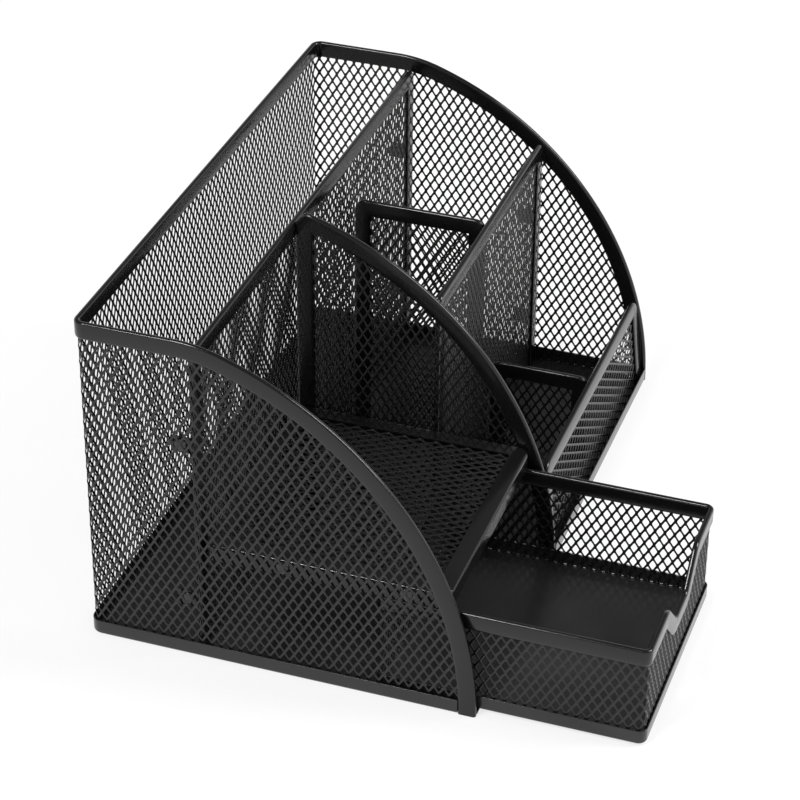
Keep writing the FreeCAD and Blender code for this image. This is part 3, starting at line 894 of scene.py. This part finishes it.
def build_outer_walls():
    """Side and back sheets and their rims.

    Where two sheets meet, their outlines go on past the cut.
    """
    front = OUTER_SIDE + BEND_Y - FRONT_Y
    past, before = OUTER_SIDE + LONG, OUTER_SIDE - LONG
    left, back = side_stations(), back_stations()
    right = flipped(left)
    left_sheet = [*left, on_top(before, SIDE_TOP)]
    right_sheet = [on_top(-before, SIDE_TOP), *right]
    back_sheet = [on_top(past, SIDE_TOP), *back, on_top(-past, SIDE_TOP)]
    left_end, right_end = (OUTER_SIDE, 0, 0), (-OUTER_SIDE, 0, 0)
    rightward, leftward = (-1, 0, 0), (1, 0, 0)
    for name, stations, sheet_outline, first, last, ends in (
        ("left_side", left, left_sheet, OUTER_SIDE, front, [(left_end, rightward)]),
        ("right_side", right, right_sheet, -front, -OUTER_SIDE, [(right_end, leftward)]),
        (
            "back",
            back,
            back_sheet,
            -OUTER_SIDE,
            OUTER_SIDE,
            [(left_end, leftward), (right_end, rightward)],
        ),
    ):
        window = (first, 0), (last, SIDE_TOP)
        cuts = [below(FLOOR_TOP), *ends]
        add_wall(name, stations, wrap_outer, window, cuts, sheet_outline)


def build_base_pan():
    """Floor with its bent-up flange, open across the drawer and at the rims' feet."""
    low, high = box_mm("base_pan")
    section = pan_section(high.z)
    inner_x = SIDE_X - RIM_T / 2 - CLEAR
    cells_x = box_mm("middle_panel_rim")[1].x + CLEAR
    rim_end = ARC_Y - math.sqrt((ARC_R - RIM_WIDTH) ** 2 - high.z**2) + CLEAR
    around = [(high.x, rim_end), (high.x, high.y), (low.x, high.y), (low.x, rim_end)]
    walls = path_stations(around, [WALL_CORNER, WALL_CORNER])
    front = [station((x, low.y), (0, 1)) for x in (cells_x, inner_x)]
    bm = bmesh.new()
    for stations in (walls, front):
        sweep(bm, stations, section, level(0), loop=False)

    # The floor inside the flanges, with a wall of its own where none borders it
    lips = [tuple(at(PAN_LIP)) for at in walls]
    front_lips = [tuple(at(PAN_LIP)) for at in front]
    outline = [(-inner_x, low.y), (cells_x, low.y), *front_lips]
    walled = [True, True, False, True]
    outline += [(inner_x, rim_end), *lips, (-inner_x, rim_end)]
    walled += [True, *[False] * (len(lips) - 1), True, True]
    add_plate(bm, outline, walled, 0, PAN_SHEET)
    clean(bm)
    mesh = finish_mesh("base_pan_pressed", bm)
    new_piece("base_pan_pressed", mesh, "stand", "pan_coat", "base_pan")


def weld_places():
    """Side and centre (side, y, z) of each weld."""
    tab = RIM_T / 2 + WELD_TAB / 2
    rear = box_mm("rear_divider_mesh")
    front = box_mm("front_divider_mesh")
    tray = box_mm("tray_rim")
    rear_y = (rear[0].y + rear[1].y) / 2 + tab
    front_y = (front[0].y + front[1].y) / 2 + tab
    places = [(side, rear_y, z) for side in (-1, 1) for z in REAR_TABS]
    places += [(1, front_y, z) for z in FRONT_TABS]
    skirt = tray[1].z - TRAY_SKIRT / 2
    length = tray[1].y - tray[0].y
    return places + [(-1, tray[1].y - share * length, skirt) for share in TRAY_WELDS]


def nugget_ring(bm, x, y, z, radius, number):
    """Vertices round a weld, on an uneven circle that differs from weld to weld."""
    ring = []
    for k in range(WELD_POINTS):
        angle = 2 * math.pi * k / WELD_POINTS
        uneven = 1
        for waves, ripple, shift in WELD_RIPPLES:
            uneven += ripple * math.sin(waves * angle + shift * number)
        reach = radius * uneven
        place = (x, y + reach * math.cos(angle), z + reach * math.sin(angle))
        ring.append(bm.verts.new(place))
    return ring


def build_spot_welds():
    """Flattened nuggets between the welded pieces and the side sheets."""
    start = SIDE_X - RIM_T / 2 - CLEAR
    bm = bmesh.new()
    for number, (side, y, z) in enumerate(weld_places()):
        rings = [
            nugget_ring(bm, side * (start + rise), y, z, WELD_D / 2 * share, number)
            for rise, share in WELD_SECTION
        ]
        for one, two in zip(rings, rings[1:]):
            join_rings(bm, one, two)
        bm.faces.new(rings[0])
    clean(bm)
    mesh = finish_mesh("weld_nuggets", bm, sharp_angle=60.0)
    new_piece("weld_nuggets", mesh, "stand", "pan_coat", "spot_welds")


# ------------------------------------------------------------ inner walls


def framed_wall(name, place, low, high, corner=FRAME_CORNER, **details):
    """Sheet and rim of a wall framed at its top and both ends."""
    (left, bottom), (right, top) = low, high
    points = [(right, bottom), (right, top), (left, top), (left, bottom)]
    stations = path_stations(points, [corner, corner])
    add_wall(name, stations, place, (low, high), [below(bottom)], **details)


def weld_tabs(side, face, heights):
    """Tabs bent back from a divider's end to lie on a side wall."""
    inner = SIDE_X - RIM_T / 2 - CLEAR
    xs = sorted((side * inner, side * (inner - RIM_SHEET)))
    half = WELD_TAB_HEIGHT / 2
    return [
        ((xs[0], face - WELD_TAB_ROOT, z - half), (xs[1], face + WELD_TAB, z + half))
        for z in heights
    ]


def build_dividers():
    """Walls across the stand, welded to the sides by their tabs."""
    for name, sides, heights in (
        ("rear_divider", (-1, 1), REAR_TABS),
        ("front_divider", (1,), FRONT_TABS),
    ):
        mesh_low, mesh_high = box_mm(f"{name}_mesh")
        low, high = box_mm(f"{name}_rim")
        plane = (mesh_low.y + mesh_high.y) / 2
        face = plane + RIM_T / 2
        tabs = [tab for side in sides for tab in weld_tabs(side, face, heights)]
        framed_wall(name, across_y(plane), (low.x, low.z), (high.x, high.z), tabs=tabs)


def build_partitions():
    """Walls that part the pen cells and the clip cells."""
    for name in ("pen_partition", "clip_partition"):
        low, high = box_mm(f"{name}_rim")
        place = across_x((low.x + high.x) / 2)
        framed_wall(name, place, (low.y, low.z), (high.y, high.z))


def build_front_wall():
    """Low wall before the clip cells, leaning out."""
    low, high = box_mm("front_wall_rim")
    lean = math.radians(FRONT_WALL_LEAN)
    foot_y = FRONT_Y + FRONT_WALL_SETBACK + RIM_T / 2

    def leaning(u, v, n):
        """Place of the front wall, drawn upright at its foot."""
        rise = v - FLOOR_TOP
        y = foot_y - n * math.cos(lean) + rise * math.sin(lean)
        return (u, y, FLOOR_TOP + n * math.sin(lean) + rise * math.cos(lean))

    framed_wall(
        "front_wall",
        leaning,
        (low.x, FLOOR_TOP + CLEAR),
        (high.x, FRONT_WALL_TOP),
        corner=FRONT_WALL_CORNER,
        turned=True,
    )


def middle_stations(back, bottom):
    """Outline of the middle panel from its back foot over the arc to its front foot.

    The rounded top corner runs into the arc. Both are drawn in by the depth, so
    deep under the outline the arc meets the upright edge with no rounding.
    """
    centre = np.array((ARC_Y, 0.0))
    corner = np.array((back - MIDDLE_CORNER, SIDE_TOP - MIDDLE_CORNER))
    across = np.hypot(*(corner - centre))
    toward = math.atan2(*(corner - centre)[::-1])

    def upright_top(depth):
        """Where the upright edge ends: at the rounded corner or at the arc."""
        u = back - depth
        arc_v = math.sqrt((ARC_R - depth) ** 2 - (u - ARC_Y) ** 2)
        return np.array((u, min(corner[1], arc_v)))

    def corner_end(depth):
        """Angle at which the rounded corner meets the arc."""
        radius, arc = MIDDLE_CORNER - depth, ARC_R - depth
        cosine = (arc**2 - across**2 - radius**2) / (2 * across * radius)
        return max(toward - math.acos(np.clip(cosine, -1, 1)), 0.0)

    def on_corner(share):
        def at(depth):
            angle = share * corner_end(depth)
            if angle <= 0:
                return upright_top(depth)
            spoke = np.array((math.cos(angle), math.sin(angle)))
            return corner + (MIDDLE_CORNER - depth) * spoke

        return at

    def on_arc(share):
        def at(depth):
            radius = ARC_R - depth
            meeting = on_corner(1.0)(depth) - centre
            start = math.atan2(meeting[1], meeting[0])
            angle = start + share * (math.pi - math.asin(bottom / radius) - start)
            return centre + radius * np.array((math.cos(angle), math.sin(angle)))

        return at

    stations = [station((back, bottom), (-1, 0)), upright_top]
    stations += [on_corner(share) for share in np.linspace(0, 1, TURN_POINTS)[1:]]
    return stations + [on_arc(share) for share in np.linspace(0, 1, ARC_POINTS + 1)[1:]]


def build_middle_panel():
    """Panel between the drawer bay and the cells."""
    low, high = box_mm("middle_panel_rim")
    place = across_x((low.x + high.x) / 2)
    stations = middle_stations(high.y, low.z)
    window = (low.y, low.z), (high.y, high.z)
    add_wall("middle_panel", stations, place, window, [below(low.z)])


def tray_section():
    """Section of the tray's flat band with its outer edge turned down, top at n = 0."""
    turn = (TRAY_BEND, -TRAY_BEND)
    outer = arc_points(turn, TRAY_BEND, math.pi / 2, math.pi, BEND_POINTS)
    inner = arc_points(turn, TRAY_BEND - RIM_SHEET, math.pi, math.pi / 2, BEND_POINTS)
    band = [(RIM_WIDTH, -RIM_SHEET), (RIM_WIDTH, 0.0)]
    return [*band, *outer, (0.0, -TRAY_SKIRT), (RIM_SHEET, -TRAY_SKIRT), *inner]


def build_tray():
    """Shelf over the drawer: mesh under a frame whose edge is turned down."""
    low, high = box_mm("tray_rim")
    points = [(low.x, low.y), (high.x, low.y), (high.x, high.y), (low.x, high.y)]
    stations = path_stations(points, [TRAY_CORNER] * 4, closed=True)
    place = level(high.z - RIM_SHEET - SHEET / 2 - CLEAR)
    window = (low.x, low.y), (high.x, high.y)
    sheet = sheet_in("tray_sheet", stations, place, window, [], closed=True)
    new_piece("tray_sheet", sheet, "stand", "mesh_coat", "tray_mesh")
    rim = rim_mesh("tray_frame", stations, level(high.z), tray_section(), closed=True)
    new_piece("tray_frame", rim, "stand", "rim_coat", "tray_rim")


# ----------------------------------------------------------------- drawer


def notch_stations(top):
    """Outline of the drawer's top edge all round, dipping in the finger notch."""
    bend = DRAWER_FLAT + np.linspace(0, DRAWER_BEND, DRAWER_TURN_POINTS)
    rear = bend[-1] + DRAWER_SIDE + np.linspace(0, DRAWER_BEND, DRAWER_TURN_POINTS)
    stops = [*bend, *rear]
    stops += [-s for s in stops]
    points = [
        (DRAWER_HALF_GIRTH, top),
        (NOTCH_WIDTH / 2, top),
        (NOTCH_FLOOR / 2, top - NOTCH_DEPTH),
        (-NOTCH_FLOOR / 2, top - NOTCH_DEPTH),
        (-NOTCH_WIDTH / 2, top),
        (-DRAWER_HALF_GIRTH, top),
    ]
    radii = [NOTCH_SHOULDER_R, NOTCH_FLOOR_R, NOTCH_FLOOR_R, NOTCH_SHOULDER_R]
    return path_stations(points, radii, stops=stops)


def build_drawer_wall():
    """Drawer wall in one strip of mesh, and its notched rim."""
    top = DRAWER_HIGH.z
    floor = box_mm("drawer_left_mesh")[0].z
    stations = notch_stations(top)
    half = DRAWER_HALF_GIRTH
    outline = [on_top(half + LONG, top), *stations, on_top(-half - LONG, top)]

    def once_round(u, v):
        return (u > -half - TINY) & (u < half - TINY)

    sheet = sheet_in(
        "drawer_sheet",
        outline,
        wrap_drawer,
        ((-half, floor), (half, top)),
        [below(floor)],
        keep=once_round,
        pitch=(DRAWER_SHORT, LONG),
    )
    walls = [f"drawer_{side}_mesh" for side in ("front", "back", "left", "right")]
    new_piece("drawer_sheet", sheet, "drawer", "mesh_coat", *walls)
    bm = bmesh.new()
    sweep(bm, stations, rim_profile(), wrap_drawer, capped=False)
    clean(bm)
    rim = finish_mesh("drawer_edging", bm)
    new_piece("drawer_edging", rim, "drawer", "rim_coat", "drawer_rim")


def build_drawer_pan():
    """Drawer floor with its bent-up flange."""
    low, high = box_mm("drawer_pan")
    corners = [(low.x, low.y), (high.x, low.y), (high.x, high.y), (low.x, high.y)]
    stations = path_stations(corners, [DRAWER_CORNER] * 4, closed=True)
    section = pan_section(high.z - low.z)
    bm = bmesh.new()
    rings = sweep(bm, stations, section, level(low.z), closed=True, loop=False)
    bm.faces.new([ring[0] for ring in rings])
    bm.faces.new([ring[-1] for ring in rings])
    clean(bm)
    mesh = finish_mesh("drawer_pan_pressed", bm)
    new_piece("drawer_pan_pressed", mesh, "drawer", "pan_coat", "drawer_pan")


# ------------------------------------------------------------------ scene

COATS = {
    "mesh_coat": powder_coat("mesh_coat_fine", shade=0.006, roughness=0.27),
    "rim_coat": powder_coat("rim_coat_fine", shade=0.005, roughness=0.17),
    # Same black coat with a lighter base colour than the others: painted reflection of the
    # surround and mesh in the drawer floor, also on the base pan and welds
    "pan_coat": powder_coat("pan_coat_painted_reflection", shade=0.018, roughness=0.15),
}

build_outer_walls()
build_base_pan()
build_spot_welds()
build_dividers()
build_partitions()
build_front_wall()
build_middle_panel()
build_tray()
build_drawer_wall()
build_drawer_pan()

studio_floor()
studio_world()
for settings in SOFTBOXES:
    softbox(*settings)
set_camera()

bpy.context.scene.view_settings.view_transform = "Standard"
